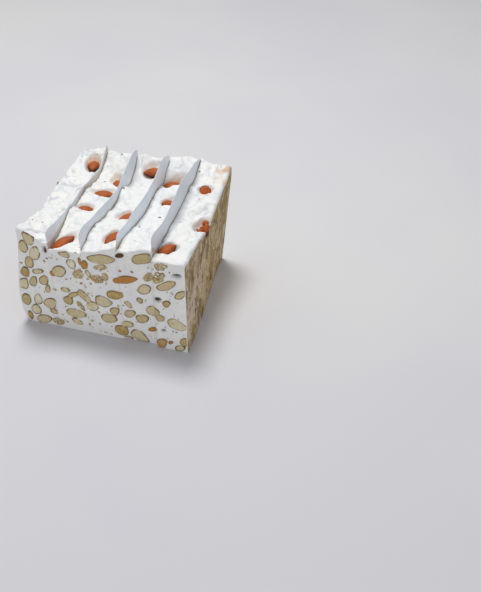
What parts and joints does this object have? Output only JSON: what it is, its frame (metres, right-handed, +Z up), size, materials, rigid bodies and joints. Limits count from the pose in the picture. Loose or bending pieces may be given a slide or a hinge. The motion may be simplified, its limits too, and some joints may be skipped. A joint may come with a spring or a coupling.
{
  "type": "sliced almond nougat slab",
  "caption": "Slab of soft white nougat with whole and cut almonds, sliced through and standing together with greaseproof sheets between the slices.",
  "frame": {"origin": "on the flat underside of the middle slice, at the middle of the slab's width and depth", "axes": "+X along the front from left to right, across the cuts; +Y from the front cut face to the back, along the cuts; +Z up"},
  "size_m": [0.1594, 0.1452, 0.12],
  "materials": {
    "nougat": "soft, matt, faintly sticky whipped sugar and egg white",
    "greaseproof_paper": "thin matt paper with a faint waxy sheen",
    "almond_skin": "dry wrinkled skin of a roasted kernel"
  },
  "bodies": {
    "root": {"slice_1": "nougat", "slice_2": "nougat", "slice_3": "nougat", "slice_4": "nougat", "slice_5": "nougat", "sheet_1": "greaseproof_paper", "sheet_2": "greaseproof_paper", "sheet_3": "greaseproof_paper", "sheet_4": "greaseproof_paper", "almond_01": "almond_skin", "almond_02": "almond_skin", "almond_03": "almond_skin", "almond_04": "almond_skin", "almond_05": "almond_skin", "almond_06": "almond_skin", "almond_07": "almond_skin", "almond_08": "almond_skin", "almond_09": "almond_skin", "almond_10": "almond_skin", "almond_11": "almond_skin", "almond_12": "almond_skin", "almond_13": "almond_skin"}
  },
  "joints": []
}
